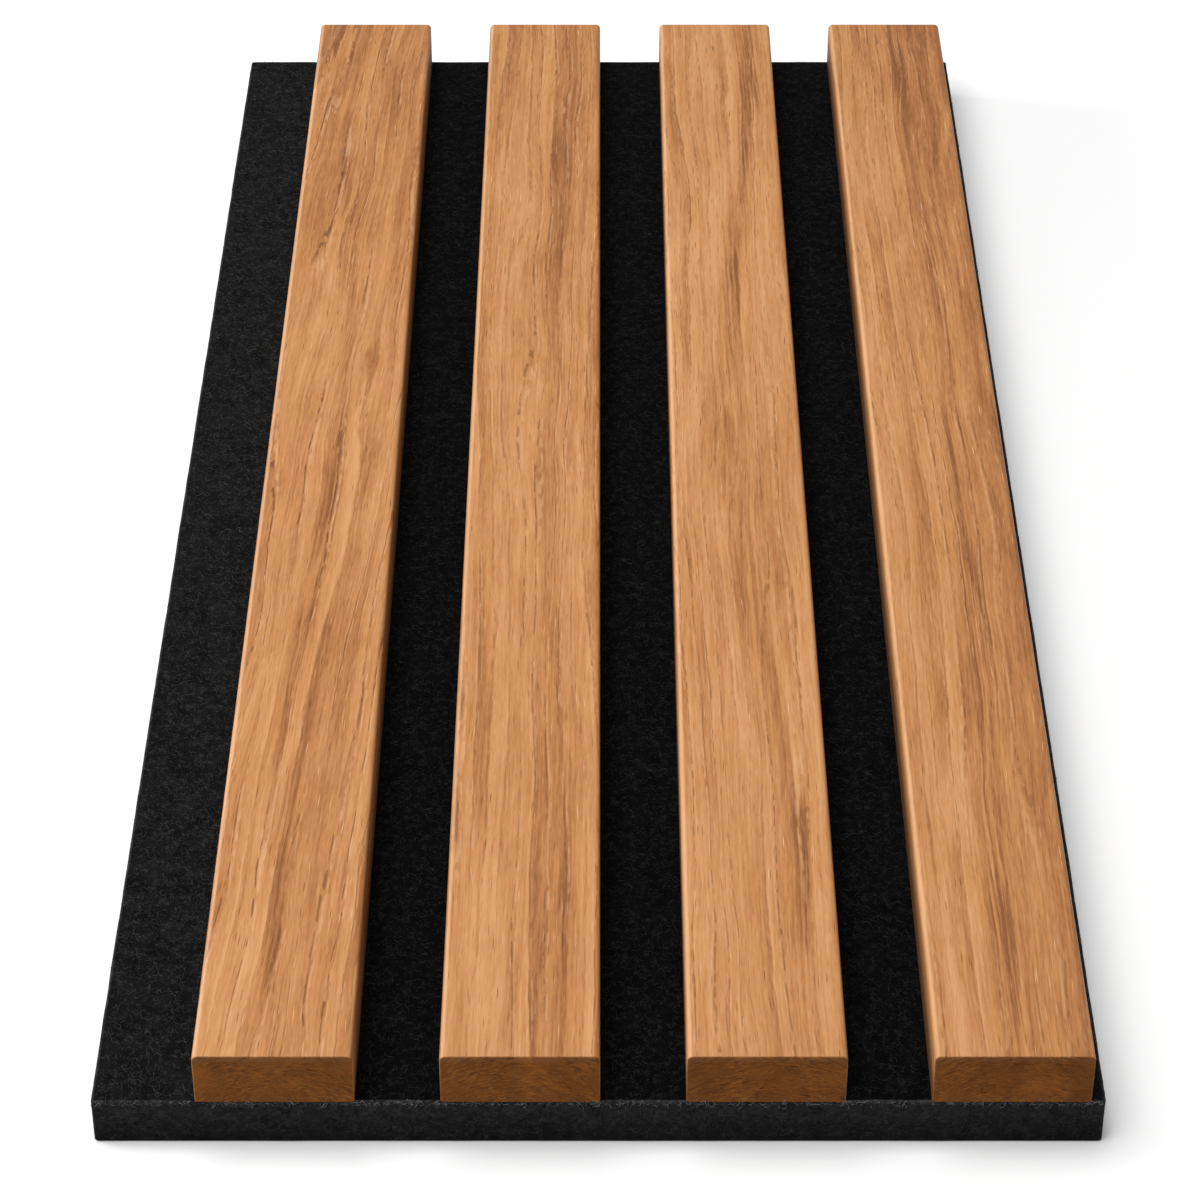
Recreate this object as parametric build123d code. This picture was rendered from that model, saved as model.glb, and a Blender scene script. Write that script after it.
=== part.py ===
"""Slatted wall panel: oak slats bonded in parallel rows to a stiff black felt board.

The panel lies on its back. X runs across the slats, Y runs along them and Z points out of the wall.
The origin is the middle of the felt's back face, the face that meets the wall. Sizes are in millimetres.
"""

import os

from build123d import *

# The whole panel, which is sawn to length through slats and felt together
PANEL_LENGTH = 350.0

# Felt board
FELT_THICKNESS = 9.0
FELT_CORNER_RADIUS = 1.0

# Slats
SLAT_COUNT = 4
SLAT_WIDTH = 26.0
SLAT_THICKNESS = 10.0
SLAT_ARRIS_RADIUS = 1.0
SLAT_END_RADIUS = 0.4

# Layout across the panel: bare felt left of the first slat, between slats, and right of the last slat
LEFT_LIP = 17.0
SLAT_GAP = 14.0
RIGHT_LIP = 2.0

SLAT_PITCH = SLAT_WIDTH + SLAT_GAP
SLAT_ROW_WIDTH = SLAT_COUNT * SLAT_WIDTH + (SLAT_COUNT - 1) * SLAT_GAP
PANEL_WIDTH = LEFT_LIP + SLAT_ROW_WIDTH + RIGHT_LIP
FIRST_SLAT_X = -PANEL_WIDTH / 2 + LEFT_LIP + SLAT_WIDTH / 2

PARTS_FOLDER = "parts"


def felt_backing():
    """The board that carries the slats: a flat sheet with knife-cut edges and slightly rounded corners."""
    with BuildPart() as board:
        with BuildSketch(Plane.XY):
            RectangleRounded(PANEL_WIDTH, PANEL_LENGTH, FELT_CORNER_RADIUS)
        extrude(amount=FELT_THICKNESS)
    return board.part


def slat(centre_x):
    """One solid oak lath: a planed section, square where it is glued and rounded along its two front arrises."""
    section_plane = Plane(
        origin=(centre_x, -PANEL_LENGTH / 2, FELT_THICKNESS),
        x_dir=(1, 0, 0),
        z_dir=(0, -1, 0),
    )
    with BuildPart() as lath:
        with BuildSketch(section_plane) as section:
            Rectangle(SLAT_WIDTH, SLAT_THICKNESS, align=(Align.CENTER, Align.MIN))
            front_corners = section.vertices().group_by(Axis.Y)[-1]
            fillet(front_corners, radius=SLAT_ARRIS_RADIUS)
        extrude(amount=-PANEL_LENGTH)
        ends = lath.faces().filter_by(Axis.Y)
        front_end_edges = [end.edges().sort_by(Axis.Z)[-1] for end in ends]
        fillet(front_end_edges, radius=SLAT_END_RADIUS)
    return lath.part


def all_pieces():
    """Every piece of the panel by its name."""
    pieces = {"felt_backing": felt_backing()}
    for index in range(SLAT_COUNT):
        pieces[f"slat_{index + 1}"] = slat(FIRST_SLAT_X + index * SLAT_PITCH)
    return pieces


os.makedirs(PARTS_FOLDER, exist_ok=True)
for name, piece in all_pieces().items():
    piece.label = name
    export_step(piece, os.path.join(PARTS_FOLDER, f"{name}.step"))
    print(name, "volume", round(piece.volume), "mm3")
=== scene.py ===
import math
import random

import bmesh
import bpy
from mathutils import Euler, Matrix, Vector
from mathutils import noise as field


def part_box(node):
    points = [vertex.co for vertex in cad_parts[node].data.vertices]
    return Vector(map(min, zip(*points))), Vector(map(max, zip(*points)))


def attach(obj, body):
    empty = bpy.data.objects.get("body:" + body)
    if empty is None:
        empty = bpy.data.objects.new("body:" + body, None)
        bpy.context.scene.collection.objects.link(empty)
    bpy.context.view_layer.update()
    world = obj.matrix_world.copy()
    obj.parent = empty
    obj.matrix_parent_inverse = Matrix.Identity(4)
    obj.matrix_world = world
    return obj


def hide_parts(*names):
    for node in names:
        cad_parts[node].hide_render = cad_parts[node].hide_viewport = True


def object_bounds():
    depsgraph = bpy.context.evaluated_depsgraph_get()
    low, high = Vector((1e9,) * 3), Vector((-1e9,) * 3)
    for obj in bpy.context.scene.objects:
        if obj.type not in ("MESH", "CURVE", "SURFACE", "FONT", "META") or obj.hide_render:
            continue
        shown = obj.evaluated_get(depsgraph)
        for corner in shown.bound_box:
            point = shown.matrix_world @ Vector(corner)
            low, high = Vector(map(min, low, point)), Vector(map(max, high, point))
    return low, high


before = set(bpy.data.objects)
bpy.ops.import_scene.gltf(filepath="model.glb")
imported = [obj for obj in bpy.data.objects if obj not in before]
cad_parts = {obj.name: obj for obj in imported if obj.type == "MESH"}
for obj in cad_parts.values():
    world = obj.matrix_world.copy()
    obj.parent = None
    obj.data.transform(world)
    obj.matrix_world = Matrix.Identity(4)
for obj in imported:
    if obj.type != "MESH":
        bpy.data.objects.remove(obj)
cad_low, cad_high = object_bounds()

# Felt board
# The real board is pressed polyester felt, dyed black right through and cut to size with a knife.
# It lies at the back of the panel, slightly uneven, and carries the slats on its front face.
MM = 0.001
PER_MM = 1 / MM
SLAT_NAMES = ("slat_1", "slat_2", "slat_3", "slat_4")
# On the right the knife left a little more felt than the drawing shows
FELT_SPARE = 0.35 * MM
felt_low, felt_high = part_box("felt_backing")
felt_high = felt_high + Vector((FELT_SPARE, 0, 0))
felt_size = felt_high - felt_low
felt_middle = (felt_low + felt_high) / 2
slat_spans = [tuple(corner.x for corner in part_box(name)) for name in SLAT_NAMES]
FELT_CELL = 2.5 * MM
FELT_CORNER = 0.6 * MM
FELT_CUT_EDGE = 0.28 * MM
FELT_EDGE_ROWS = 4
FELT_UNEVEN = 0.08 * MM
FELT_LUMPS_PER_METRE = 170
SHARP_ANGLE = math.radians(50)
FELT_DEEP_BLACK = (0.0024, 0.0024, 0.0025, 1)
FELT_SOFT_BLACK = (0.0062, 0.0062, 0.0062, 1)
FELT_CUT_GREY = (0.0170, 0.0170, 0.0170, 1)
FELT_GROOVE_PAINTED_SHADE = (0.30, 0.30, 0.30, 1)
FELT_STRAND_GREY = (0.030, 0.030, 0.030, 1)
FELT_CUT_DEPTH = 0.55
FELT_WISP_GREY = (0.042, 0.042, 0.042, 1)
FELT_WISP_SHARE = 0.55
FELT_SHADED_FOOT_SHARE = 0.12
FELT_RIM_DEPTHS = (0.45, 0.15)
FELT_MOTTLE_PER_MM = (0.25, 0.25, 0.25)
FELT_FRAY_PER_MM = (1.5, 1.5, 1.5)
FELT_WISPS_PER_MM = (0.55, 0.55, 0.70)
FELT_RIM_PER_MM = (0.40, 0.40, 0.40)
FELT_NAP_PER_MM = (3.5, 3.5, 3.5)
FELT_ROUGHNESS = 0.95
FELT_SPECULAR = 0.04
FELT_SHEEN = 0.02
FELT_NAP_DEPTH = 0.16 * MM


def sharp_edges(bm, upright):
    """Edges where two walls meet squarely, upright ones or level ones."""
    found = []
    for edge in bm.edges:
        run = (edge.verts[1].co - edge.verts[0].co).normalized()
        if edge.is_manifold and edge.calc_face_angle() > SHARP_ANGLE and (abs(run.z) > 0.9) == upright:
            found.append(edge)
    return found


def ease(bm, edges, radius, segments):
    """Round edges over a radius."""
    bmesh.ops.bevel(
        bm,
        geom=edges,
        offset=radius,
        segments=segments,
        profile=0.5,
        affect="EDGES",
        material=-1,
        clamp_overlap=True,
    )


def add_piece(name, bm, material):
    """Turn a bmesh into a smooth piece that rides with the panel."""
    mesh = bpy.data.meshes.new(name)
    bm.to_mesh(mesh)
    bm.free()
    mesh.shade_smooth()
    piece = bpy.data.objects.new(name, mesh)
    bpy.context.scene.collection.objects.link(piece)
    mesh.materials.append(material)
    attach(piece, "root")
    return piece


def feed(tree, socket, value):
    """Link a socket to a socket, or set it to a plain value."""
    if isinstance(value, bpy.types.NodeSocket):
        tree.links.new(value, socket)
    else:
        socket.default_value = value


def calc(tree, operation, *values):
    """One Math node."""
    node = tree.nodes.new("ShaderNodeMath")
    node.operation = operation
    for socket, value in zip(node.inputs, values):
        feed(tree, socket, value)
    return node.outputs[0]


def vector_calc(tree, operation, *values):
    """One Vector Math node that gives a vector."""
    node = tree.nodes.new("ShaderNodeVectorMath")
    node.operation = operation
    for socket, value in zip(node.inputs, values):
        feed(tree, socket, value)
    return node.outputs["Vector"]


def product(tree, first, *others):
    """Several values multiplied together."""
    for other in others:
        first = calc(tree, "MULTIPLY", first, other)
    return first


def remap(tree, value, low, high, to_low=0.0, to_high=1.0):
    """A smooth step of a value from one range to another."""
    node = tree.nodes.new("ShaderNodeMapRange")
    node.interpolation_type = "SMOOTHSTEP"
    for name, setting in zip(
        ("Value", "From Min", "From Max", "To Min", "To Max"), (value, low, high, to_low, to_high)
    ):
        feed(tree, node.inputs[name], setting)
    return node.outputs["Result"]


def noise(tree, position, frequency, shift=(0, 0, 0), detail=2.0, distortion=0.0):
    """Soft noise from 0 to 1, whose frequency is given for each axis."""
    placed = vector_calc(tree, "MULTIPLY_ADD", position, frequency, shift)
    node = tree.nodes.new("ShaderNodeTexNoise")
    node.inputs["Scale"].default_value = 1
    node.inputs["Detail"].default_value = detail
    node.inputs["Distortion"].default_value = distortion
    tree.links.new(placed, node.inputs["Vector"])
    return node.outputs["Fac"]


def mix_colour(tree, share, first, second, blend="MIX"):
    """Two colours mixed by a share."""
    node = tree.nodes.new("ShaderNodeMix")
    node.data_type = "RGBA"
    node.blend_type = blend
    feed(tree, node.inputs["Factor"], share)
    colours = [socket for socket in node.inputs if socket.type == "RGBA"]
    feed(tree, colours[0], first)
    feed(tree, colours[1], second)
    return next(socket for socket in node.outputs if socket.type == "RGBA")


def component(tree, vector, axis):
    """One component of a vector."""
    node = tree.nodes.new("ShaderNodeSeparateXYZ")
    tree.links.new(vector, node.inputs[0])
    return node.outputs[axis]


def new_material(name, middle=(0, 0, 0)):
    """A material with its node tree, its shader and a position in millimetres from the middle given."""
    material = bpy.data.materials.new(name)
    material.use_nodes = True
    tree = material.node_tree
    shader = tree.nodes["Principled BSDF"]
    coordinate = tree.nodes.new("ShaderNodeTexCoord")
    mapping = tree.nodes.new("ShaderNodeMapping")
    mapping.inputs["Location"].default_value = Vector(middle) * -PER_MM
    mapping.inputs["Scale"].default_value = (PER_MM,) * 3
    tree.links.new(coordinate.outputs["Object"], mapping.inputs["Vector"])
    return material, tree, shader, mapping.outputs["Vector"]


def add_relief(tree, shader, height, depth):
    """Relief from a height of 0 to 1 that stands for the depth given in metres."""
    node = tree.nodes.new("ShaderNodeBump")
    node.inputs["Distance"].default_value = depth
    tree.links.new(height, node.inputs["Height"])
    tree.links.new(node.outputs["Normal"], shader.inputs["Normal"])


# Curly strands are the level lines of soft noise, broken into short lengths by a second noise
STRAND_LAYERS = (
    (0.85, (3, 7, 1), 0.042),
    (1.25, (31, 11, 5), 0.052),
    (0.60, (57, 3, 23), 0.030),
)
STRAND_BREAK = 0.55
STRANDS_ON_LIP = 0.70
STRANDS_IN_GROOVES = 0.35


def strand_mask(tree, position):
    """Where short curled strands lie on top of the felt."""
    found = None
    for frequency, shift, half_width in STRAND_LAYERS:
        level = noise(tree, position, (frequency,) * 3, shift, detail=1, distortion=0.8)
        away = calc(tree, "ABSOLUTE", calc(tree, "SUBTRACT", level, 0.5))
        line = remap(tree, away, 0, half_width, 1, 0)
        broken = noise(tree, position, (STRAND_BREAK,) * 3, (shift[1], shift[2], shift[0]))
        piece = calc(tree, "MULTIPLY", line, remap(tree, broken, 0.50, 0.62))
        found = piece if found is None else calc(tree, "MAXIMUM", found, piece)
    return found


felt_material, tree, shader, position = new_material("black_felt")
mottle = noise(tree, position, FELT_MOTTLE_PER_MM, detail=5)
ground = mix_colour(tree, remap(tree, mottle, 0.32, 0.68), FELT_DEEP_BLACK, FELT_SOFT_BLACK)
# Along the knife cut the fibres fray and scatter more light
across = component(tree, position, "X")
along = component(tree, position, "Y")
off_middle = calc(tree, "SUBTRACT", across, felt_middle.x * PER_MM)
from_side = calc(tree, "SUBTRACT", felt_size.x / 2 * PER_MM, calc(tree, "ABSOLUTE", off_middle))
from_end = calc(tree, "SUBTRACT", felt_size.y / 2 * PER_MM, calc(tree, "ABSOLUTE", along))
cut_distance = calc(tree, "MINIMUM", from_side, from_end)
cut_edge = remap(tree, cut_distance, FELT_CUT_DEPTH / 2, FELT_CUT_DEPTH, 1, 0)
# Painted shade darkens the felt in the grooves between the slats, so the grooves look deeper black than the
# lip
groove_shade_share = calc(
    tree,
    "MULTIPLY",
    remap(tree, across, *(edge * PER_MM for edge in slat_spans[0])),
    remap(tree, across, *(edge * PER_MM for edge in slat_spans[-1]), 1, 0),
)
groove_shade_share = calc(tree, "MULTIPLY", groove_shade_share, calc(tree, "SUBTRACT", 1.0, cut_edge))
groove_shaded = mix_colour(tree, 1.0, ground, FELT_GROOVE_PAINTED_SHADE, "MULTIPLY")
ground = mix_colour(tree, groove_shade_share, ground, groove_shaded)
fray = remap(tree, noise(tree, position, FELT_FRAY_PER_MM, (5, 9, 2), detail=4), 0.28, 0.68, 0.20, 1.0)
# Painted shade darkens the cut towards the back of the board, next to the floor: its fray and wisps fade out
# downwards
upwards = component(tree, position, "Z")
lit_towards_top = remap(tree, upwards, felt_low.z * PER_MM, felt_high.z * PER_MM, FELT_SHADED_FOOT_SHARE, 1.0)
fray = calc(tree, "MULTIPLY", fray, lit_towards_top)
ground = mix_colour(tree, calc(tree, "MULTIPLY", cut_edge, fray), ground, FELT_CUT_GREY)
wisps = noise(tree, position, FELT_WISPS_PER_MM, (8, 2, 4), detail=5, distortion=1.6)
wisp_share = product(tree, remap(tree, wisps, 0.48, 0.70), cut_edge, lit_towards_top, FELT_WISP_SHARE)
ground = mix_colour(tree, wisp_share, ground, FELT_WISP_GREY)
# Along the rim of the front face the palest wisps stand in patches, partly real wisps and partly a painted
# highlight on the rim
rim_height = remap(tree, upwards, *(felt_high.z * PER_MM - depth for depth in FELT_RIM_DEPTHS))
rim_patches = noise(tree, position, FELT_RIM_PER_MM, (1, 6, 3), detail=3)
rim_wisps_and_highlight = product(tree, rim_height, cut_edge, remap(tree, rim_patches, 0.40, 0.62, 0.15, 1.0))
rim_wisps_and_highlight = calc(tree, "MULTIPLY", rim_wisps_and_highlight, remap(tree, fray, 0.2, 0.9, 0.15, 0.9))
ground = mix_colour(tree, rim_wisps_and_highlight, ground, FELT_WISP_GREY)
# Fewer pale strands in the grooves adds to the painted shade there
strand_share = remap(tree, groove_shade_share, 0.0, 1.0, STRANDS_ON_LIP, STRANDS_IN_GROOVES)
strand_share = calc(tree, "MULTIPLY", strand_mask(tree, position), strand_share)
feed(tree, shader.inputs["Base Color"], mix_colour(tree, strand_share, ground, FELT_STRAND_GREY))
nap = noise(tree, position, FELT_NAP_PER_MM, detail=3)
add_relief(tree, shader, nap, FELT_NAP_DEPTH)
shader.inputs["Roughness"].default_value = FELT_ROUGHNESS
shader.inputs["Specular IOR Level"].default_value = FELT_SPECULAR
shader.inputs["Sheen Weight"].default_value = FELT_SHEEN

bm = bmesh.new()
columns, rows = round(felt_size.x / FELT_CELL), round(felt_size.y / FELT_CELL)
bmesh.ops.create_grid(bm, x_segments=columns, y_segments=rows, size=0.5)
bmesh.ops.scale(bm, vec=(felt_size.x, felt_size.y, 1), verts=bm.verts)
bmesh.ops.translate(bm, vec=(felt_middle.x, felt_middle.y, felt_high.z), verts=bm.verts)
front_sheet = bm.faces[:]
back_sheet = bmesh.ops.extrude_face_region(bm, geom=front_sheet, use_keep_orig=True)["geom"]
back_verts = [item for item in back_sheet if isinstance(item, bmesh.types.BMVert)]
bmesh.ops.translate(bm, vec=(0, 0, -felt_size.z), verts=back_verts)
bmesh.ops.recalc_face_normals(bm, faces=bm.faces)
ease(bm, sharp_edges(bm, upright=True), FELT_CORNER, 3)
ease(bm, sharp_edges(bm, upright=False), FELT_CUT_EDGE, 2)
for row in range(1, FELT_EDGE_ROWS):
    height = felt_low.z + felt_size.z * row / FELT_EDGE_ROWS
    geometry = bm.verts[:] + bm.edges[:] + bm.faces[:]
    bmesh.ops.bisect_plane(bm, geom=geometry, plane_co=(0, 0, height), plane_no=(0, 0, 1))
bm.normal_update()
for vert in bm.verts:
    under_slat = any(low - FELT_CELL < vert.co.x < high + FELT_CELL for low, high in slat_spans)
    on_back = vert.normal.z < -0.5
    bonded = under_slat and vert.normal.z > 0.5
    if not on_back and not bonded:
        vert.co += vert.normal * FELT_UNEVEN * field.noise(vert.co * FELT_LUMPS_PER_METRE)
felt_board = add_piece("felt_board", bm, felt_material)
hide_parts("felt_backing")

# Felt fuzz
# Loose fibres lift off the felt's front face and off its knife-cut edges, and catch a little light.
# They are the board's own black polyester, finer than a hair, and they curl at random.
FUZZ_RADIUS = 0.036 * MM
FUZZ_CURL = (0.25 * MM, 0.90 * MM)
FUZZ_LAY = 1.45
FUZZ_SWEEP = (50, 180)
FUZZ_BACK_SWEEP = (30, 110)
FUZZ_BENDS_BACK = 0.45
FUZZ_STEPS = 4
FUZZ_SHAPES = 30
FUZZ_TILT = 5
FUZZ_LIFT = 0.08 * MM
FUZZ_ON_LIP = 0.85e6
FUZZ_IN_GROOVES = 0.38e6
FUZZ_ON_EDGES = 0.45e6
FUZZ_EDGE_TILT = 2
FUZZ_EDGE_LIFT = 0.03 * MM
FUZZ_RIM_PER_METRE = 2600
FUZZ_RIM_TILT = 14
FUZZ_GREY = (0.012, 0.012, 0.012, 1)
FUZZ_PALE_GREY = (0.056, 0.056, 0.056, 1)
FUZZ_GROOVE_PAINTED_SHADE = 0.50
FUZZ_FRAYED_SHADE = 4.5
FUZZ_ROUGHNESS = 0.6
FUZZ_SPECULAR = 0.2
chance = random.Random(11)


def curled_fibre():
    """One loose fibre: a slim three-sided tube that bends one way and, now and then, back again."""
    bm = bmesh.new()
    curl = chance.uniform(*FUZZ_CURL)
    sweep = math.radians(chance.uniform(*FUZZ_SWEEP))
    start = Matrix.Translation((curl, 0, 0)) @ Matrix.Rotation(math.pi / 2, 4, "X")
    bmesh.ops.create_circle(bm, segments=3, radius=FUZZ_RADIUS, matrix=start)
    bend = bmesh.ops.spin(
        bm, geom=bm.verts[:] + bm.edges[:], cent=(0, 0, 0), axis=(0, 0, 1), angle=sweep, steps=FUZZ_STEPS
    )
    if chance.random() < FUZZ_BENDS_BACK:
        back_curl = chance.uniform(*FUZZ_CURL)
        back_sweep = math.radians(chance.uniform(*FUZZ_BACK_SWEEP))
        centre = Vector((math.cos(sweep), math.sin(sweep), 0)) * (curl + back_curl)
        bmesh.ops.spin(
            bm, geom=bend["geom_last"], cent=centre, axis=(0, 0, -1), angle=back_sweep, steps=FUZZ_STEPS
        )
    bmesh.ops.recalc_face_normals(bm, faces=bm.faces)
    middle = sum((vert.co for vert in bm.verts), Vector()) / len(bm.verts)
    bmesh.ops.translate(bm, vec=-middle, verts=bm.verts)
    mesh = bpy.data.meshes.new("curled_fibre")
    bm.to_mesh(mesh)
    bm.free()
    return mesh


def lay_fibres(bm, surface, across, along, count, tilt, lift, lay=1.0):
    """Scatter fibres on a flat surface, whose matrix turns across, along and outwards into the frame."""
    drawn_out = Matrix.Diagonal((1, lay, 1, 1))
    for _ in range(count):
        fibre = chance.choice(fibre_shapes).copy()
        lean = Euler([math.radians(chance.uniform(-tilt, tilt)) for _ in range(2)] + [0])
        turn = Matrix.Rotation(chance.uniform(0, math.tau), 4, "Z")
        spot = Vector((chance.uniform(*across), chance.uniform(*along), chance.uniform(0, lift)))
        fibre.transform(surface @ Matrix.Translation(spot) @ lean.to_matrix().to_4x4() @ drawn_out @ turn)
        bm.from_mesh(fibre)
        bpy.data.meshes.remove(fibre)


def fibre_material(name, shade):
    """Dyed polyester fibre, some of it paler than the rest, times a shade."""
    material, tree, shader, position = new_material(name)
    paler = remap(tree, noise(tree, position, (0.9, 0.9, 0.9), detail=1), 0.3, 0.7)
    dark, pale = [[*(shade * level for level in grey[:3]), 1] for grey in (FUZZ_GREY, FUZZ_PALE_GREY)]
    feed(tree, shader.inputs["Base Color"], mix_colour(tree, paler, dark, pale))
    shader.inputs["Roughness"].default_value = FUZZ_ROUGHNESS
    shader.inputs["Specular IOR Level"].default_value = FUZZ_SPECULAR
    return material


free_fibre = fibre_material("free_fibre", 1.0)
# Fibres in the grooves get a painted shade, darker than those on the lip
groove_shaded_fibre = fibre_material("groove_shaded_fibre", FUZZ_GROOVE_PAINTED_SHADE)
frayed_fibre = fibre_material("frayed_fibre", FUZZ_FRAYED_SHADE)

fibre_shapes = [curled_fibre() for _ in range(FUZZ_SHAPES)]
fuzz_reach = max(vert.co.length for shape in fibre_shapes for vert in shape.vertices)
strip_edges = [felt_low.x + fuzz_reach * 0.8] + [edge for span in slat_spans for edge in span]
strip_run = (felt_low.y + fuzz_reach / 2, felt_high.y - fuzz_reach / 2)
front_face = Matrix.Translation((0, 0, felt_high.z))
wide_lip, *grooves = zip(strip_edges[::2], strip_edges[1::2])
for name, group, per_square_metre, material in (
    ("felt_lip_fuzz", [wide_lip], FUZZ_ON_LIP, free_fibre),
    ("felt_groove_fuzz", grooves, FUZZ_IN_GROOVES, groove_shaded_fibre),
):
    bm = bmesh.new()
    for left, right in group:
        count = round((right - left) * felt_size.y * per_square_metre)
        lay_fibres(bm, front_face, (left, right), strip_run, count, FUZZ_TILT, FUZZ_LIFT, FUZZ_LAY)
    add_piece(name, bm, material)

# A side's matrix stands its across on the panel's outline and its along on the panel's thickness.
# The saw came out at the near end, the first side here, and frayed the felt along its front rim.
edge_fibres, rim_fibres = bmesh.new(), bmesh.new()
for quarter, reach, half_run in (
    (0, felt_size.y / 2, felt_size.x / 2),
    (1, felt_size.x / 2, felt_size.y / 2),
    (2, felt_size.y / 2, felt_size.x / 2),
    (3, felt_size.x / 2, felt_size.y / 2),
):
    upright = Matrix.Translation((0, -reach, 0)) @ Matrix.Rotation(math.pi / 2, 4, "X")
    side = Matrix.Translation(felt_middle) @ Matrix.Rotation(quarter * math.pi / 2, 4, "Z") @ upright
    half_height = felt_size.z / 2
    face_count = round(2 * half_run * felt_size.z * FUZZ_ON_EDGES)
    face_rise = (-half_height + fuzz_reach, half_height - fuzz_reach / 2)
    face_run = (-half_run + fuzz_reach / 2, half_run - fuzz_reach / 2)
    lay_fibres(edge_fibres, side, face_run, face_rise, face_count, FUZZ_EDGE_TILT, FUZZ_EDGE_LIFT)
    if quarter == 0:
        rim_count = round(2 * half_run * FUZZ_RIM_PER_METRE)
        rim_rise = (half_height - fuzz_reach / 2, half_height - FELT_CUT_EDGE)
        lay_fibres(rim_fibres, side, face_run, rim_rise, rim_count, FUZZ_RIM_TILT, FUZZ_EDGE_LIFT)
add_piece("felt_edge_fuzz", edge_fibres, free_fibre)
add_piece("felt_rim_fuzz", rim_fibres, frayed_fibre)
for shape in fibre_shapes:
    bpy.data.meshes.remove(shape)

# Oak slats
# Each slat is one solid lath of oak, planed, rounded along its two front arrises and oiled matt.
# All four are bonded flat on the felt, and the saw that cut the panel to length left their end grain bare.
OAK_BROWN = (0.225, 0.082, 0.026, 1)
OAK_TAN = (0.355, 0.142, 0.048, 1)
OAK_HONEY = (0.468, 0.208, 0.074, 1)
OAK_STRAW = (0.570, 0.285, 0.120, 1)
OAK_PORE = (0.130, 0.046, 0.013, 1)
OAK_CREAM = (0.740, 0.450, 0.255, 1)
OAK_ROUGHNESS = 0.45
OAK_SPECULAR = 0.16
OAK_GRAIN_DEPTH = 0.05 * MM
OAK_COAT = 0.05
OAK_COAT_ROUGHNESS = 0.28
OAK_MIDDLE_TONE = 0.72
PORE_ROUGHER = 0.25
SIDE_ROUGHER = 0.35
END_ROUGHER = 0.25
END_GRAIN_SHADE = (0.360, 0.256, 0.081, 1)
END_PITH_X = 1.5
END_PITH_Z = -17.0
END_GRAIN_EVENNESS = 0.65
END_EASING = 0.35
ARRIS_RADIUS = 1.0
LEFT_ARRIS_PAINTED_HIGHLIGHT = 0.44
RIGHT_ARRIS_PAINTED_SHADE = 0.55
FOOT_PAINTED_SHADE = 0.80
END_ARCS_ROUND = 14.0
END_ARCS_PER_MM = 3.4
LOG_STEPS = (71.0, 433.0, 57.0)
RING_UNEVEN = 2.2
RING_WISPS = 0.14
FAINTEST_RING = 0.12
CREAM_PALER = 0.22
ROWS_PER_RING = 2.0
ROW_HALF_WIDTH = 0.10
ROW_DARKER = 0.15
ROW_PORE_SHARE = 0.85
ROW_HIGHLIGHT_SIDE = 0.30
ROW_HIGHLIGHT_SHARE = 0.38
PORE_SHARE = 0.90
FLECK_SHARE = 0.70
FAR_SHADE_RUN = (-40.0, 170.0)
FAR_SHADE_SWAY = 160.0
KNOT_DARKER = 0.10
KNOT_HALF_WIDTH = 3.2
KNOT_HALF_LENGTH = 13.0
# Each noise drawn out along the slat: waves per millimetre across and along it, shift, detail and weight
WANDERS = (
    (0.030, 0.0085, (0, 0, 0), 2, 1.0),
    (0.10, 0.024, (9, 4, 2), 1, 0.50),
    (0.40, 0.11, (3, 6, 1), 1, 0.09),
)
STREAKS = {
    "grit": (3.4, 0.36, (5, 5, 1), 2, 0.50),
    "fine": (2.4, 0.085, (1, 2, 3), 3, 0.68),
    "threads": (1.7, 0.022, (3, 7, 2), 2, 0.35),
    "medium": (0.75, 0.022, (8, 1, 6), 3, 0.62),
    "clouds": (0.30, 0.055, (2, 3, 8), 2, 0.45),
    "broad": (0.14, 0.009, (4, 9, 7), 2, 0.85),
}
# Where each band lies within a ring, from 0 at its start to 1 at its end
RING_START = (0.0, 0.04)
BROWN_FADE = (0.05, 0.70)
EARLY_FADE = (0.07, 0.24)
CREAM_RISE = (0.82, 0.95)
CREAM_FADE = (0.96, 1.0)

oak_figure = bpy.data.node_groups.new("oak_figure", "ShaderNodeTree")
for socket_name in (
    "Pith X", "Pith Z", "Lean", "Ring Width", "Wave", "Bands", "Pore Rows",
    "Streak X", "Streak Sway", "Streak Start", "Streak Length", "Streak Width", "Streak Depth",
    "Heart Side", "Far Shade", "Knot X", "Knot Y", "Knot Pull",
    "Seed", "Half Width", "Half Length", "Thickness",
):
    oak_figure.interface.new_socket(socket_name, in_out="INPUT", socket_type="NodeSocketFloat")
oak_figure.interface.new_socket("Position", in_out="INPUT", socket_type="NodeSocketVector")
oak_figure.interface.new_socket("Color", in_out="OUTPUT", socket_type="NodeSocketColor")
oak_figure.interface.new_socket("Height", in_out="OUTPUT", socket_type="NodeSocketFloat")
oak_figure.interface.new_socket("Roughness", in_out="OUTPUT", socket_type="NodeSocketFloat")
tree = oak_figure
given = tree.nodes.new("NodeGroupInput").outputs
result = tree.nodes.new("NodeGroupOutput").inputs


def joined(tree, x, y, z):
    """A vector of three components."""
    node = tree.nodes.new("ShaderNodeCombineXYZ")
    for socket, value in zip(node.inputs, (x, y, z)):
        feed(tree, socket, value)
    return node.outputs[0]


def long_noise(tree, place, across, along, shift, detail=2):
    """Soft noise drawn out along the slat, in waves per millimetre across and along it."""
    return noise(tree, place, (across, along, across), shift, detail)


def weighted(tree, value, weight, base):
    """A base plus a noise's swing about its middle, times a weight."""
    return calc(tree, "MULTIPLY_ADD", calc(tree, "SUBTRACT", value, 0.5), weight, base)


def chance_of(tree, number):
    """A random value from 0 to 1 for each whole number."""
    node = tree.nodes.new("ShaderNodeTexWhiteNoise")
    node.noise_dimensions = "1D"
    tree.links.new(calc(tree, "FLOOR", number), node.inputs["W"])
    return node.outputs["Value"]


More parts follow.
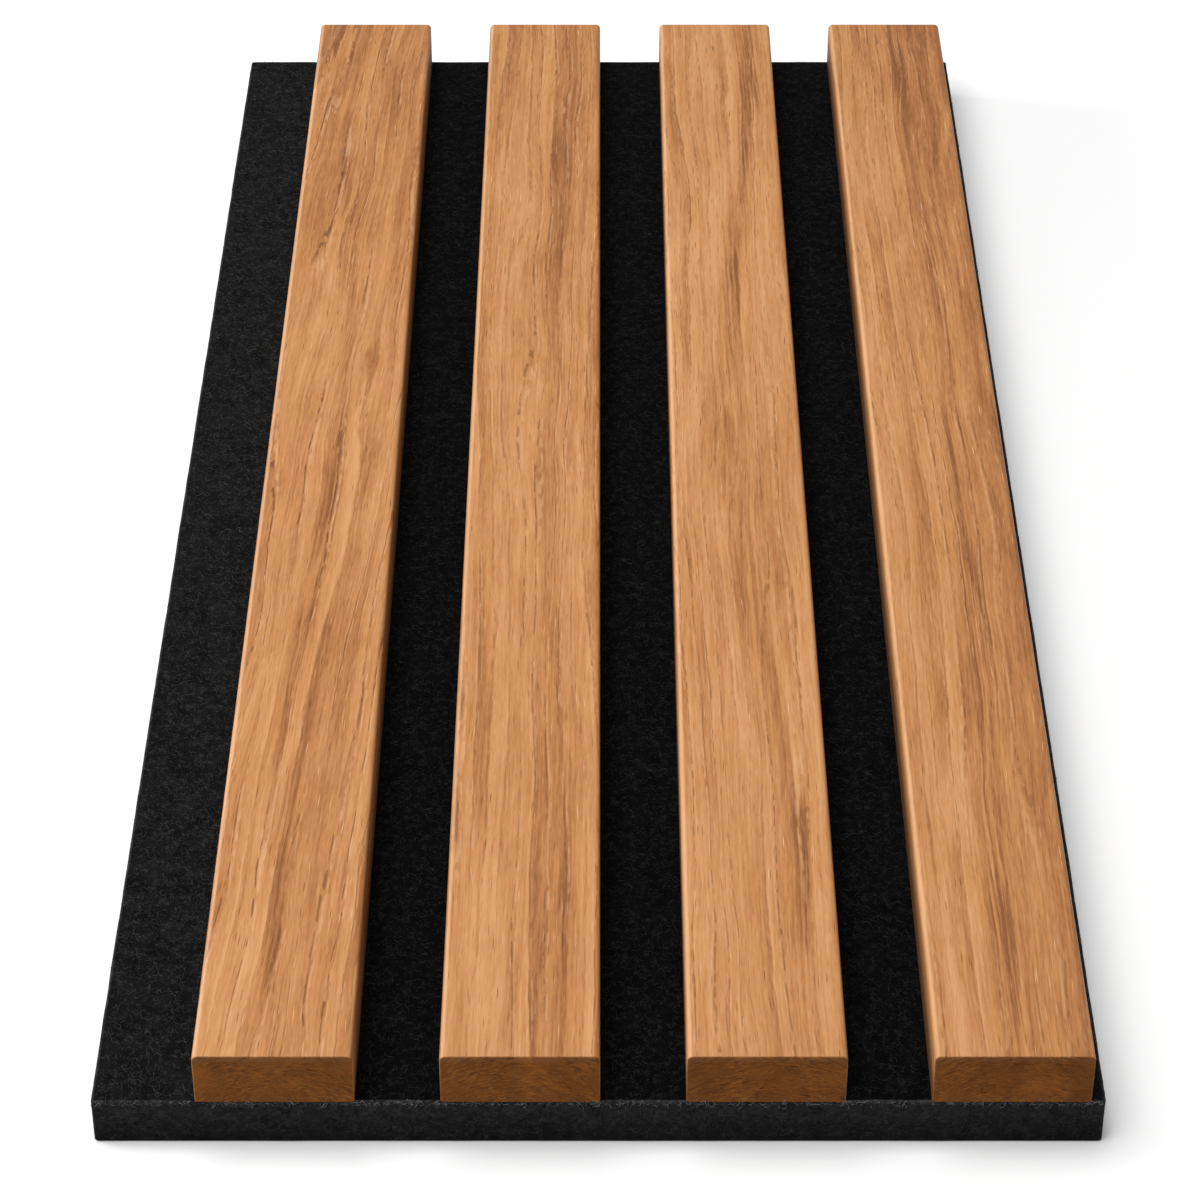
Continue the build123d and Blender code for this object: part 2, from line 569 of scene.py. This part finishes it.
# The fibres lean across the slat and wander on their way, in slow bends, in short ones and in a tremble
across = component(tree, given["Position"], "X")
along = component(tree, given["Position"], "Y")
upwards = component(tree, given["Position"], "Z")
log_shift = joined(tree, *(calc(tree, "MULTIPLY", given["Seed"], step) for step in LOG_STEPS))
log_place = vector_calc(tree, "ADD", given["Position"], log_shift)
wander = 0.0
for per_mm_across, per_mm_along, shift, detail, weight in WANDERS:
    bend = long_noise(tree, log_place, per_mm_across, per_mm_along, shift, detail)
    wander = weighted(tree, bend, weight, wander)
slope = calc(tree, "MULTIPLY", along, given["Lean"])
drift = calc(tree, "MULTIPLY_ADD", wander, given["Wave"], slope)
# A pin knot pushes the fibres aside over a few millimetres
knot_x = calc(tree, "DIVIDE", calc(tree, "SUBTRACT", across, given["Knot X"]), KNOT_HALF_WIDTH)
knot_y = calc(tree, "DIVIDE", calc(tree, "SUBTRACT", along, given["Knot Y"]), KNOT_HALF_LENGTH)
knot_square = calc(tree, "MULTIPLY_ADD", knot_x, knot_x, calc(tree, "MULTIPLY", knot_y, knot_y))
knot = calc(tree, "EXPONENT", calc(tree, "MULTIPLY", knot_square, -1.0))
knot_push = product(tree, knot, knot_x, given["Knot Pull"])
sideways = joined(tree, calc(tree, "ADD", drift, knot_push), 0.0, 0.0)
fibre = vector_calc(tree, "SUBTRACT", log_place, sideways)
grain_x = component(tree, vector_calc(tree, "SUBTRACT", given["Position"], sideways), "X")

# Growth rings are circles round the pith, each with a sharp start and a long soft end, some of them faint
from_pith_x = calc(tree, "SUBTRACT", grain_x, given["Pith X"])
from_pith_z = calc(tree, "SUBTRACT", upwards, given["Pith Z"])
pith_square = calc(tree, "MULTIPLY_ADD", from_pith_x, from_pith_x, calc(tree, "POWER", from_pith_z, 2.0))
radius = calc(tree, "SQRT", pith_square)
uneven = long_noise(tree, fibre, 0.09, 0.006, (2, 8, 5))
wisps = long_noise(tree, fibre, 1.3, 0.07, (6, 2, 9))
ring = calc(tree, "DIVIDE", radius, given["Ring Width"])
ring = weighted(tree, wisps, RING_WISPS, weighted(tree, uneven, RING_UNEVEN, ring))
ring_share = calc(tree, "FRACT", ring)
patches = remap(tree, long_noise(tree, fibre, 0.11, 0.015, (4, 1, 3)), 0.38, 0.62, 0.15, 1.0)
ring_strength = remap(tree, chance_of(tree, ring), 0.15, 0.95, FAINTEST_RING, 1.0)
ring_strength = calc(tree, "MULTIPLY", ring_strength, patches)
ring_start = remap(tree, ring_share, *RING_START)
brown_band = product(tree, ring_start, remap(tree, ring_share, *BROWN_FADE, 1, 0), ring_strength)
early_wood = product(tree, ring_start, remap(tree, ring_share, *EARLY_FADE, 1, 0))
cream_line = product(tree, remap(tree, ring_share, *CREAM_RISE), remap(tree, ring_share, *CREAM_FADE, 1, 0))

# Open pores stand in dotted rows, two to a ring, and a painted highlight runs beside some of the rows
row = calc(tree, "MULTIPLY_ADD", ring, ROWS_PER_RING, 0.5)
row_width = calc(tree, "DIVIDE", given["Ring Width"], ROWS_PER_RING)
row_side = calc(tree, "MULTIPLY", calc(tree, "SUBTRACT", calc(tree, "FRACT", row), 0.5), row_width)
row_away = calc(tree, "ABSOLUTE", row_side)
row_strength = remap(tree, chance_of(tree, row), 0.0, 0.6, 0.35, 1.0)
stretch = remap(tree, long_noise(tree, fibre, 0.22, 0.018, (1, 7, 9)), 0.38, 0.54, 0.25, 1.0)
row_strength = product(tree, row_strength, stretch, given["Pore Rows"])
beads = long_noise(tree, fibre, 0.9, 0.30, (4, 4, 6), detail=1)
row_reach = calc(tree, "MULTIPLY", beads, ROW_HALF_WIDTH * 2)
row_pores = product(
    tree,
    remap(tree, calc(tree, "DIVIDE", row_away, row_reach), 0.35, 1.0, 1, 0),
    remap(tree, beads, 0.42, 0.53),
    row_strength,
)
row_shade = calc(tree, "MULTIPLY", remap(tree, row_away, 0.05, 0.8, 1, 0), row_strength)
row_highlight = product(
    tree,
    remap(tree, calc(tree, "ABSOLUTE", calc(tree, "SUBTRACT", row_side, ROW_HIGHLIGHT_SIDE)), 0.04, 0.17, 1, 0),
    remap(tree, beads, 0.36, 0.56),
    row_strength,
)

# Streaks of lighter and darker fibre, from hair fine to finger broad
tone = OAK_MIDDLE_TONE
streaks = {}
for name, (per_mm_across, per_mm_along, shift, detail, weight) in STREAKS.items():
    streaks[name] = long_noise(tree, fibre, per_mm_across, per_mm_along, shift, detail)
    tone = weighted(tree, streaks[name], weight, tone)
threads, clouds, broad = streaks["threads"], streaks["clouds"], streaks["broad"]
tone = calc(tree, "SUBTRACT", tone, calc(tree, "MULTIPLY", brown_band, given["Bands"]))
tone = calc(tree, "MULTIPLY_ADD", row_shade, -ROW_DARKER, tone)
tone = calc(tree, "MULTIPLY_ADD", calc(tree, "MULTIPLY", cream_line, patches), CREAM_PALER, tone)
# One brown streak of heartwood sways along the slat, and one side of the slat may be darker than the other
sway_turn = calc(tree, "SUBTRACT", along, given["Streak Start"])
sway_turn = calc(tree, "DIVIDE", sway_turn, given["Streak Length"])
sway = calc(tree, "COSINE", calc(tree, "MULTIPLY", sway_turn, math.tau))
streak_middle = calc(tree, "MULTIPLY_ADD", sway, given["Streak Sway"], given["Streak X"])
streak_away = calc(tree, "DIVIDE", calc(tree, "SUBTRACT", across, streak_middle), given["Streak Width"])
streak_away = weighted(tree, threads, 1.8, weighted(tree, broad, 1.6, streak_away))
streak = calc(tree, "EXPONENT", calc(tree, "MULTIPLY", calc(tree, "POWER", streak_away, 2.0), -1.0))
streak = product(tree, streak, remap(tree, threads, 0.36, 0.62, 1.2, 0.5), given["Streak Depth"])
streak = calc(tree, "MULTIPLY", streak, remap(tree, patches, 0.15, 1.0, 0.55, 1.1))
tone = calc(tree, "SUBTRACT", tone, streak)
heart = remap(tree, weighted(tree, clouds, 5.0, grain_x), 1.0, 6.0)
heart = calc(tree, "MULTIPLY", heart, given["Heart Side"])
tone = calc(tree, "SUBTRACT", tone, heart)
far_end = remap(tree, weighted(tree, broad, FAR_SHADE_SWAY, along), *FAR_SHADE_RUN)
tone = calc(tree, "SUBTRACT", tone, calc(tree, "MULTIPLY", far_end, given["Far Shade"]))
knot_shade = calc(tree, "MULTIPLY", calc(tree, "POWER", knot, 3.0), given["Knot Pull"])
tone = calc(tree, "MULTIPLY_ADD", knot_shade, -KNOT_DARKER, tone)
ramp = tree.nodes.new("ShaderNodeValToRGB")
for place, colour in ((0.30, OAK_TAN), (0.60, OAK_HONEY)):
    ramp.color_ramp.elements.new(place).color = colour
ramp.color_ramp.elements[0].color = OAK_BROWN
ramp.color_ramp.elements[-1].color = OAK_STRAW
tree.links.new(tone, ramp.inputs["Fac"])
wood = ramp.outputs["Color"]


def dashes(tree, fibre, frequency, shift, size, share):
    """Slim cells drawn out along the fibres: a share of them is kept, some strong and some faint."""
    placed = vector_calc(tree, "MULTIPLY_ADD", fibre, frequency, shift)
    cells = tree.nodes.new("ShaderNodeTexVoronoi")
    cells.inputs["Scale"].default_value = 1
    tree.links.new(placed, cells.inputs["Vector"])
    core = remap(tree, cells.outputs["Distance"], size * 0.35, size, 1, 0)
    kept = calc(tree, "LESS_THAN", component(tree, cells.outputs["Color"], "X"), share)
    strength = calc(tree, "POWER", component(tree, cells.outputs["Color"], "Y"), 1.4)
    strength = calc(tree, "MULTIPLY_ADD", strength, 0.7, 0.3)
    return product(tree, core, strength, kept)


# Single pores lie between the rows and crowd into the early wood, with pale ray flecks among them
crowd = calc(tree, "MULTIPLY_ADD", calc(tree, "MULTIPLY", early_wood, ring_strength), 0.42, 0.20)
lone_pores = dashes(tree, fibre, (3.4, 0.16, 3.4), (5, 3, 1), 0.34, crowd)
pores = calc(tree, "MAXIMUM", lone_pores, calc(tree, "MULTIPLY", row_pores, ROW_PORE_SHARE))
fleck_crowd = calc(tree, "MULTIPLY_ADD", cream_line, 0.30, 0.08)
fleck_crowd = calc(tree, "MULTIPLY_ADD", heart, 0.5, fleck_crowd)
flecks = dashes(tree, fibre, (3.0, 0.13, 3.0), (7, 1, 4), 0.32, fleck_crowd)
# The pale line beside the pore rows is a painted highlight; the ray flecks are the wood's own colour
row_highlight = calc(tree, "MULTIPLY", row_highlight, ROW_HIGHLIGHT_SHARE)
pale = calc(tree, "MAXIMUM", calc(tree, "MULTIPLY", flecks, FLECK_SHARE), row_highlight)
wood = mix_colour(tree, pale, wood, OAK_CREAM)
wood = mix_colour(tree, calc(tree, "MULTIPLY", pores, PORE_SHARE), wood, OAK_PORE)

# A painted highlight lightens the left arris, and a painted shade darkens the right one
side_distance = calc(tree, "SUBTRACT", given["Half Width"], calc(tree, "ABSOLUTE", across))
top_distance = calc(tree, "SUBTRACT", given["Thickness"], upwards)
arris = calc(
    tree,
    "MULTIPLY",
    remap(tree, side_distance, ARRIS_RADIUS * 0.6, ARRIS_RADIUS, 1, 0),
    remap(tree, top_distance, ARRIS_RADIUS * 0.15, ARRIS_RADIUS * 0.5, 1, 0),
)
left_arris_highlight = product(tree, arris, remap(tree, across, -1.0, 1.0, 1, 0), LEFT_ARRIS_PAINTED_HIGHLIGHT)
wood = mix_colour(tree, left_arris_highlight, wood, OAK_CREAM)
# Painted shade darkens the right arris, as if it were turned away from the light
right_arris_shade = product(
    tree,
    remap(tree, side_distance, ARRIS_RADIUS * 0.10, ARRIS_RADIUS * 0.55, 1, 0),
    remap(tree, top_distance, ARRIS_RADIUS * 1.0, ARRIS_RADIUS * 1.8, 1, 0),
    remap(tree, across, -1.0, 1.0),
)
wood = mix_colour(tree, calc(tree, "MULTIPLY", right_arris_shade, RIGHT_ARRIS_PAINTED_SHADE), wood, OAK_BROWN)

# Painted shade darkens the foot of each slat's sides, next to the felt
foot_shade = remap(tree, upwards, 0.0, given["Thickness"], 1, 0)
foot_shade = product(tree, foot_shade, remap(tree, side_distance, 0.02, 0.10, 1, 0), FOOT_PAINTED_SHADE)
wood = mix_colour(tree, foot_shade, wood, OAK_PORE)

# Sawn ends soak up more oil and show the rings cut across, as short broken arcs
end_distance = calc(tree, "SUBTRACT", given["Half Length"], calc(tree, "ABSOLUTE", along))
end_grain = remap(tree, end_distance, 0.02, END_EASING, 1, 0)
arc_x = calc(tree, "SUBTRACT", across, END_PITH_X)
arc_z = calc(tree, "SUBTRACT", upwards, END_PITH_Z)
arc_radius = calc(tree, "SQRT", calc(tree, "MULTIPLY_ADD", arc_x, arc_x, calc(tree, "POWER", arc_z, 2.0)))
arc_angle = calc(tree, "ARCTAN2", arc_x, arc_z)
arc_place = joined(
    tree,
    calc(tree, "MULTIPLY", arc_angle, END_ARCS_ROUND),
    calc(tree, "MULTIPLY", arc_radius, END_ARCS_PER_MM),
    calc(tree, "MULTIPLY", given["Seed"], 7.0),
)
ripples = noise(tree, arc_place, (1, 1, 1), detail=2, distortion=1.4)
ripple_patches = remap(tree, noise(tree, log_place, (0.16, 0.16, 0.16), (2, 5, 7)), 0.35, 0.60, 1.0, 2.9)
end_tone = calc(tree, "MULTIPLY_ADD", calc(tree, "SUBTRACT", ripples, 0.5), ripple_patches, 1.0)
end_tone = weighted(tree, noise(tree, log_place, (0.12, 0.12, 0.12), (6, 1, 3)), 1.2, end_tone)
end_colour = mix_colour(tree, END_GRAIN_EVENNESS, wood, OAK_HONEY)
end_colour = mix_colour(tree, 1.0, end_colour, END_GRAIN_SHADE, "MULTIPLY")
end_colour = mix_colour(tree, 1.0, end_colour, joined(tree, end_tone, end_tone, end_tone), "MULTIPLY")
feed(tree, result["Color"], mix_colour(tree, end_grain, wood, end_colour))
# Planing leaves fine straight marks along the slat
feed(tree, result["Height"], long_noise(tree, log_place, 2.4, 0.085, (1, 2, 3)))
side_wall = remap(tree, top_distance, ARRIS_RADIUS * 0.7, ARRIS_RADIUS * 1.5)
roughness = calc(tree, "MULTIPLY_ADD", pores, PORE_ROUGHER, OAK_ROUGHNESS)
roughness = calc(tree, "MULTIPLY_ADD", side_wall, SIDE_ROUGHER, roughness)
feed(tree, result["Roughness"], calc(tree, "MULTIPLY_ADD", end_grain, END_ROUGHER, roughness))

# How each slat lay in its log: the pith's place, the fibres' lean and wave, rings, streak and knot
SLAT_CUTS = {
    "slat_1": {
        "Pith X": -20, "Pith Z": -16, "Lean": 0.055, "Ring Width": 3.6, "Wave": 5.0,
        "Bands": 0.42, "Pore Rows": 0.95,
        "Streak X": -1.0, "Streak Sway": 2.5, "Streak Start": 20, "Streak Length": 230,
        "Streak Width": 1.7, "Streak Depth": 0.34, "Heart Side": 0.04, "Far Shade": 0.14,
        "Knot X": 5.5, "Knot Y": 28, "Knot Pull": 2.2,
    },
    "slat_2": {
        "Pith X": -30, "Pith Z": -30, "Lean": 0.006, "Ring Width": 3.4, "Wave": 4.0,
        "Bands": 0.42, "Pore Rows": 0.75,
        "Streak X": 4.5, "Streak Sway": 2.0, "Streak Start": -150, "Streak Length": 330,
        "Streak Width": 2.0, "Streak Depth": 0.36, "Heart Side": 0.09, "Far Shade": 0.06,
        "Knot X": 0, "Knot Y": 0, "Knot Pull": 0,
    },
    "slat_3": {
        "Pith X": 28, "Pith Z": -26, "Lean": -0.008, "Ring Width": 3.4, "Wave": 4.5,
        "Bands": 0.36, "Pore Rows": 0.65,
        "Streak X": 2.1, "Streak Sway": 4.7, "Streak Start": -137, "Streak Length": 290,
        "Streak Width": 2.2, "Streak Depth": 0.38, "Heart Side": 0.0, "Far Shade": -0.03,
        "Knot X": 0, "Knot Y": 0, "Knot Pull": 0,
    },
    "slat_4": {
        "Pith X": 24, "Pith Z": -20, "Lean": 0.0, "Ring Width": 3.2, "Wave": 4.0,
        "Bands": 0.30, "Pore Rows": 0.80,
        "Streak X": 1.8, "Streak Sway": -1.8, "Streak Start": -150, "Streak Length": 400,
        "Streak Width": 2.0, "Streak Depth": 0.50, "Heart Side": 0.23, "Far Shade": 0.15,
        "Knot X": 3.9, "Knot Y": 131, "Knot Pull": 2.6,
    },
}
for number, (name, cut) in enumerate(SLAT_CUTS.items(), start=1):
    low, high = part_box(name)
    middle = ((low.x + high.x) / 2, (low.y + high.y) / 2, low.z)
    material, tree, shader, position = new_material(f"oiled_oak_{number}", middle)
    figure = tree.nodes.new("ShaderNodeGroup")
    figure.node_tree = oak_figure
    tree.links.new(position, figure.inputs["Position"])
    for socket_name, value in cut.items():
        figure.inputs[socket_name].default_value = value
    figure.inputs["Seed"].default_value = number
    figure.inputs["Half Width"].default_value = (high.x - low.x) / 2 * PER_MM
    figure.inputs["Half Length"].default_value = (high.y - low.y) / 2 * PER_MM
    figure.inputs["Thickness"].default_value = (high.z - low.z) * PER_MM
    tree.links.new(figure.outputs["Color"], shader.inputs["Base Color"])
    tree.links.new(figure.outputs["Roughness"], shader.inputs["Roughness"])
    add_relief(tree, shader, figure.outputs["Height"], OAK_GRAIN_DEPTH)
    shader.inputs["Specular IOR Level"].default_value = OAK_SPECULAR
    shader.inputs["Coat Weight"].default_value = OAK_COAT
    shader.inputs["Coat Roughness"].default_value = OAK_COAT_ROUGHNESS
    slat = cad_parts[name]
    slat.data.materials.clear()
    slat.data.materials.append(material)

# Studio
# A pale floor under the panel, a large soft light above it, a smaller one low on the left that rakes
# over the slats, and the camera where the photograph was taken from.
FLOOR_SIZE = 8.0
FLOOR_WHITE = (0.915, 0.915, 0.915, 1)
FLOOR_DROP = 0.05 * MM
FLOOR_ROUGHNESS = 0.9
FLOOR_SPECULAR = 0.1
bm = bmesh.new()
bmesh.ops.create_grid(bm, x_segments=1, y_segments=1, size=FLOOR_SIZE / 2)
bmesh.ops.translate(bm, vec=(0, 0, cad_low.z - FLOOR_DROP), verts=bm.verts)
floor_mesh = bpy.data.meshes.new("floor")
bm.to_mesh(floor_mesh)
bm.free()
floor = bpy.data.objects.new("floor", floor_mesh)
bpy.context.scene.collection.objects.link(floor)
floor_material = bpy.data.materials.new("pale_floor")
floor_material.use_nodes = True
floor_shader = floor_material.node_tree.nodes["Principled BSDF"]
floor_shader.inputs["Base Color"].default_value = FLOOR_WHITE
floor_shader.inputs["Roughness"].default_value = FLOOR_ROUGHNESS
floor_shader.inputs["Specular IOR Level"].default_value = FLOOR_SPECULAR
floor_mesh.materials.append(floor_material)

WORLD_FILL = 0.33
world = bpy.data.worlds.new("studio")
world.use_nodes = True
world.node_tree.nodes["Background"].inputs["Color"].default_value = (1, 1, 1, 1)
world.node_tree.nodes["Background"].inputs["Strength"].default_value = WORLD_FILL
bpy.context.scene.world = world


def softbox(name, place, size, watts):
    """A square area light that faces the panel."""
    data = bpy.data.lights.new(name, "AREA")
    data.shape = "SQUARE"
    data.size = size
    data.energy = watts
    lamp = bpy.data.objects.new(name, data)
    lamp.location = place
    lamp.rotation_euler = (-Vector(place)).to_track_quat("-Z", "Y").to_euler()
    bpy.context.scene.collection.objects.link(lamp)


softbox("overhead_softbox", place=(-0.27, -0.14, 1.23), size=0.90, watts=16.0)
softbox("raking_softbox", place=(-1.12, 0.20, 0.30), size=0.50, watts=7)

CAMERA_PLACE = (0.47 * MM, -608.8 * MM, 436.2 * MM)
CAMERA_PITCH = 36.854
PHOTO_WIDTH = 1200
FOCAL_PIXELS = 3708.4
camera_data = bpy.data.cameras.new("camera")
camera_data.sensor_width = 36.0
camera_data.lens = FOCAL_PIXELS / PHOTO_WIDTH * camera_data.sensor_width
camera_data.clip_start = 0.01
camera = bpy.data.objects.new("camera", camera_data)
camera.location = CAMERA_PLACE
camera.rotation_euler = Euler((math.radians(90 - CAMERA_PITCH), 0, 0))
bpy.context.scene.collection.objects.link(camera)
bpy.context.scene.camera = camera
bpy.context.scene.view_settings.view_transform = "Standard"
